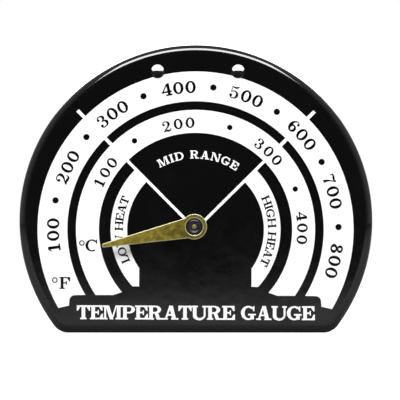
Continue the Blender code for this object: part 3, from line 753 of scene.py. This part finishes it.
def buildPrint():
    places, triangles = paint(printLayers())
    sides = dict.fromkeys(side for loop in triangles for side in zip(loop, loop[1:] + loop[:1]))
    edges = [(a, b) for a, b in sides if (b, a) not in sides]
    shape = bmesh.new()
    front = plant(shape, places, triangles, dialY - dial["thick"] + dial["sunk"])
    back = plant(shape, places, triangles, dialY + dial["sunk"])
    for triangle in triangles:
        shape.faces.new([front[i] for i in triangle])
        shape.faces.new([back[i] for i in triangle[::-1]])
    for a, b in edges:
        shape.faces.new((front[b], front[a], back[a], back[b]))
    print("print triangles", len(triangles))
    return addPiece("whitePrint", shape, [ink], "case")


dialPrint = buildPrint()

print("rivets")
rivet = {
    "headRadius": 1.8,
    "brim": 0.10,  # upright edge of the head
    "soft": 0.04,
    "sunk": 0.01,  # into the enamel
    "shank": 1.2,
    "tail": [(1.94, -8.08), (2.0, -8.02), (2.0, -7.78), (1.65, -7.18), (1.3, -7.1), (0, -7.1)],
}


def buildRivet(side):
    spot = rivetSpots[side]
    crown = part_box(f"bracket_rivet_{side}")[0].y / mm
    base = dialY - rivet["sunk"]
    radius, soft, shank = rivet["headRadius"], rivet["soft"], rivet["shank"]
    rise = base - crown - rivet["brim"]
    sphere = (radius**2 + rise**2) / (2 * rise)
    reach = math.asin(radius / sphere)
    turns = [reach * i / 16 for i in range(17)]
    profile = [(sphere * math.sin(a), crown + sphere * (1 - math.cos(a))) for a in turns]
    profile += [(radius, base - soft), (radius - soft, base), (shank, base), (shank, rivet["tail"][0][1])]
    profile += rivet["tail"]
    name, replaced = f"bracketRivet{side.capitalize()}", [f"bracket_rivet_{side}"]
    return turned(name, profile, spot.x, spot.z, rivetDarkenedBlack, "case", replaced)


rivetPieces = [buildRivet(side) for side in rivetSpots]

print("pointer")
blade = {
    "angle": 191.7,  # anticlockwise from the right
    "length": 23.9,
    "hubRadius": 3.25,
    "shoulder": 0.46,
    "tip": 0.94,
    "tipRound": 0.35,
    "tipSide": 0.134,  # centre of that rounding, off the middle line
    "steps": (72, 24, 6),  # round the hub, along a side, round a corner of the tip
    "hole": 2.15,
    "edge": 0.12,  # rounding of the front edges
    "holeEdge": 0.14,
    "edgeTurns": (90, 68, 45, 22, 0),
    "highlightBand": 0.09,  # width of the pale margin inside each rounded edge, where a highlight is painted
}
bladeLow, bladeHigh = [corner.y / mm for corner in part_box("pointer")]


def bladeOutline():
    # hub and blade along +x, as points that a ray from the hub meets once
    root = blade["hubRadius"] - blade["shoulder"]
    tip = blade["tip"] / 2
    slope = (root - tip) / blade["length"]
    a, b, c = 1 + slope**2, -2 * root * slope, root**2 - blade["hubRadius"] ** 2
    x = (-b + math.sqrt(b * b - 4 * a * c)) / (2 * a)
    start = math.degrees(math.atan2(root - slope * x, x))
    around, run, corner = blade["steps"]
    hub = arc(0, 0, blade["hubRadius"], start, 360 - start, around)
    end = blade["length"] - blade["tipRound"]
    lower = [x + (end - x) * i / run for i in range(1, run + 1)]
    lower = [(px, -(root - slope * px)) for px in lower]
    nose = arc(end, -blade["tipSide"], blade["tipRound"], -88, 0, corner)[1:]
    upper = [(px, -py) for px, py in (lower + nose)[::-1]]
    return hub + lower + nose + upper


def inward(outline, inset):
    made = []
    for before, point, after in zip(outline[-1:] + outline, outline, outline[1:] + outline[:1]):
        dx, dy = after[0] - before[0], after[1] - before[1]
        size = math.hypot(dx, dy)
        made.append((point[0] - dy / size * inset, point[1] + dx / size * inset))
    return made


def buildBlade():
    outline = bladeOutline()
    rays = [math.degrees(math.atan2(y, x)) for x, y in outline]
    turn = math.radians(blade["angle"])

    def onDial(points, y):
        cosine, sine = math.cos(turn), math.sin(turn)
        return [(hubX + (px * cosine - pz * sine), y, hubZ + (px * sine + pz * cosine)) for px, pz in points]

    def hole(radius, y):
        return onDial([onRing(radius, ray) for ray in rays], y)

    def edge(inset, y):
        return onDial(inward(outline, inset), y)

    front, back = bladeLow, bladeHigh
    bore, bright = blade["hole"], blade["highlightBand"]
    soft, boreSoft = blade["edge"], blade["holeEdge"]
    turns = [math.radians(a) for a in blade["edgeTurns"]]
    loops = [hole(bore, back), hole(bore, front + boreSoft)]
    for a in turns[1:]:
        loops.append(hole(bore + boreSoft * (1 - math.sin(a)), front + boreSoft * (1 - math.cos(a))))
    face = len(loops)
    loops += [hole(bore + boreSoft + bright, front), edge(soft + bright, front)]
    loops += [edge(soft * (1 - math.sin(a)), front + soft * (1 - math.cos(a))) for a in turns[::-1]]
    loops += [edge(0, back)]
    shape = bmesh.new()
    bridge(shape, loops, closed=True)
    plain = (face, len(loops) - 1)  # the flat face and the flat back; all else takes the pale edge colour, a painted highlight
    for i, side in enumerate(shape.faces):
        side.material_index = 0 if i // len(outline) in plain else 1
    finishes = [bladeFinish(-turn), edgeHighlightFinish()]
    return addPiece("pointerBlade", shape, finishes, "pointer", ["pointer"])


buildBlade()

hubCap = {
    "radius": 1.85,
    "round": 0.3,
    "land": 1.42,  # the front face runs from the radius in to here
    "cup": 1.17,
    "cupDeep": 0.16,
    "bore": 0.66,
    "flange": 2.9,
    "flangeThick": 0.35,
    "soft": 0.06,
}


def buildHubCap():
    low, high = [corner.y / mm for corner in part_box("pointer_collet")]
    radius, soft = hubCap["radius"], hubCap["round"]
    floor = low + hubCap["cupDeep"]
    profile = [(hubCap["bore"], high), (hubCap["bore"], floor), (hubCap["cup"], floor), (hubCap["land"], low)]
    profile += [(radius - soft + soft * math.sin(a), low + soft - soft * math.cos(a)) for a in bendAngles(6)]
    flange, wide, soft = high - hubCap["flangeThick"], hubCap["flange"], hubCap["soft"]
    profile += [(radius, flange), (wide - soft, flange), (wide, flange + soft)]
    profile += [(wide, high - soft), (wide - soft, high)]
    turned("darkHub", profile, hubX, hubZ, blackSteel, "pointer", ["pointer_collet"])


buildHubCap()

print("spiral")
spiral = {
    "sheet": 0.3,
    "pitch": 1.6,
    "inner": 2.3,
    "rise": 12.15,  # of the straight outer end above the arbor
    "straight": 4.8,
    "steps": 48,  # for each turn
    "soft": 0.04,
    "tongue": [(-1.2, 0), (0.4, 0), (1.5, 0), (1.95, 0.04), (2.2, 0.18)],  # in the arbor's slot, then out
}


def spiralPath():
    # (x, z, share of the arbor's turn) from the tongue outwards
    half = spiral["straight"] / 2
    outer = math.hypot(spiral["rise"], half)
    turns = (outer - spiral["inner"]) // spiral["pitch"]
    sweepAngle = turns * 360 + math.degrees(math.atan2(spiral["rise"], half))
    count = round(spiral["steps"] * sweepAngle / 360)
    path = [(x, z, 1.0) for x, z in spiral["tongue"]]
    for i in range(2, count + 1):
        share = i / count
        radius = spiral["inner"] + (outer - spiral["inner"]) * share
        turn = math.radians(sweepAngle * share)
        path.append((radius * math.cos(turn), radius * math.sin(turn), 1 - share))
    return path + [(half - spiral["straight"] * i / 4, spiral["rise"], 0.0) for i in range(1, 5)]


def buildSpiral():
    low, high = [corner.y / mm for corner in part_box("bimetal_coil")]
    path = spiralPath()
    half, soft = spiral["sheet"] / 2, spiral["soft"]
    section = [(-half, low + soft), (-half + soft, low), (0, low), (half - soft, low), (half, low + soft)]
    section += [(x, low + high - y) for x, y in section[::-1]]
    shape = bmesh.new()
    rings, shares = [], []
    for (x, z, share), (dx, dz, size) in zip(path, headings(path)):
        around = [(hubX + x + dz / size * off, y, hubZ + z - dx / size * off) for off, y in section]
        rings.append([shape.verts.new([v * mm for v in point]) for point in around])
        shares += [share] * len(section)
    count = len(section)
    for near, far in zip(rings, rings[1:]):
        for i in range(count):
            j = (i + 1) % count
            face = shape.faces.new((near[i], near[j], far[j], far[i]))
            face.material_index = 0 if 2 <= i <= 6 else 1  # brass on the outer half, steel on the inner
    shape.faces.new(rings[0])
    shape.faces.new(rings[-1][::-1])
    piece = addPiece("bimetalSpiral", shape, [brassSide, ironSide], None, ["bimetal_coil"])
    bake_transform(piece)


buildSpiral()

print("carried pieces")
carried = {
    "case_bush": brass,
    "arbor": brass,
    "front_washer": steel,
    "rear_washer": steel,
    "retaining_clip": steel,
    "coil_anchor_rivet": plated,
    "magnet_bracket": plated,
    "bar_magnet": ferrite,
}
for node, finish in carried.items():
    mesh = frame["nodes"][node].data
    mesh.materials.clear()
    mesh.materials.append(finish)

print("studio")
studio = {
    "view": 101.87,  # width of the picture at the dial
    "distance": 1600,
    "aimX": 1.05,
    "aimZ": -18.20,
    "lampAimZ": -15,
    "floorRadius": 1500,
    "floorRings": (0.01, 60, 200, 600),
    "floorGap": 0.02,  # below the foot
}
lamps = {  # direction from the dial, distance, width, height, watts
    "topSoftbox": ((0.0, -0.67, 0.74), 700, 620, 330, 6.9),
    "backSoftbox": ((0.0, 0.8, 0.6), 900, 900, 600, 16),
    "rivetSoftbox": ((0.0, -0.58, 0.81), 500, 3200, 980, 300),
    "printSoftbox": ((0.0, -1.0, 0.05), 900, 600, 600, 3.0),
}


def buildFloor():
    shape = bmesh.new()
    foot = dishLow.z - studio["floorGap"]
    radii = [*studio["floorRings"], studio["floorRadius"]]
    loops = [[(x, y, foot) for x, y in circle(0, 0, radius, 96)] for radius in radii]
    bridge(shape, loops)
    bmesh.ops.remove_doubles(shape, verts=shape.verts, dist=1e-4)
    bmesh.ops.recalc_face_normals(shape, faces=shape.faces)
    mesh = bpy.data.meshes.new("paleFloor")
    shape.to_mesh(mesh)
    shape.free()
    # grey in the enamel's reflection and pale to the camera
    made = Finish("pale floor", Roughness=0.8, Emission_Strength=1.0)
    grain = made.noise(0.02, 3)
    straight = made.node("ShaderNodeLightPath", output="Is Camera Ray")
    away = made.node("ShaderNodeVectorMath", {"operation": "LENGTH"}, {0: made.place}, output="Value")
    pale = made.ramp(away / studio["floorRadius"], (0.03, 0.86), (0.20, 1.0))
    glow = made.blend(straight, (0.0, 0.0, 0.0), pale)
    grey = made.blend(grain, (0.135, 0.135, 0.135), (0.16, 0.16, 0.16))
    mesh.materials.append(made.wear(Base_Color=grey, Emission_Color=glow))
    floor = bpy.data.objects.new("paleFloor", mesh)
    bpy.context.scene.collection.objects.link(floor)


def softbox(name, direction, distance, width, height, power):
    # an area light that faces the dial from that direction
    light = bpy.data.lights.new(name, "AREA")
    light.shape = "RECTANGLE"
    light.size = width * mm
    light.size_y = height * mm
    light.energy = power
    lamp = bpy.data.objects.new(name, light)
    away = Vector(direction).normalized()
    lamp.location = Vector((0, dialY * mm, studio["lampAimZ"] * mm)) + away * distance * mm
    lamp.rotation_euler = away.to_track_quat("Z", "Y").to_euler()
    lamp.visible_camera = False
    bpy.context.scene.collection.objects.link(lamp)
    return lamp


def only(lamp, pieces):
    # the lamp lights nothing but those pieces
    lit = bpy.data.collections.new(f"{lamp.name}Pieces")
    for piece in pieces:
        lit.objects.link(piece)
    lamp.light_linking.receiver_collection = lit


def buildWorld():
    # white to the camera; to the object, a studio that is dark behind the camera and lighter round the sides
    world = bpy.data.worlds.new("studio")
    bpy.context.scene.world = world
    graph = Graph(world)
    coords = graph.node("ShaderNodeTexCoord", output="Generated")
    towards = graph.node("ShaderNodeSeparateXYZ", inputs={0: coords}, output="Y") * 0.5 + 0.5
    room = graph.ramp(towards, (0.0, 0.04), (0.03, 0.06), (0.25, 0.26), (0.5, 0.34), (1.0, 0.30))
    lit = graph.node("ShaderNodeBackground", None, {"Color": room, "Strength": 1.0})
    seen = graph.node("ShaderNodeBackground", None, {"Color": (1.0, 1.0, 1.0), "Strength": 1.0})
    straight = graph.node("ShaderNodeLightPath", output="Is Camera Ray")
    both = graph.node("ShaderNodeMixShader", None, {0: straight, 1: lit, 2: seen})
    graph.feed(graph.graph.nodes["World Output"].inputs[0], both)


def buildCamera():
    camera = bpy.data.cameras.new("camera")
    camera.sensor_width = 36
    camera.lens = camera.sensor_width * studio["distance"] / studio["view"]
    camera.clip_start = 0.01
    camera.clip_end = 20
    seen = bpy.data.objects.new("camera", camera)
    seen.location = (studio["aimX"] * mm, (dialY - studio["distance"]) * mm, studio["aimZ"] * mm)
    seen.rotation_euler = (math.pi / 2, 0, 0)
    bpy.context.scene.collection.objects.link(seen)
    bpy.context.scene.camera = seen


buildFloor()
buildWorld()
buildCamera()
lit = {name: softbox(name, *lamp) for name, lamp in lamps.items()}
only(lit["rivetSoftbox"], rivetPieces)
only(lit["printSoftbox"], [dialPrint])
bpy.context.scene.view_settings.view_transform = "Standard"
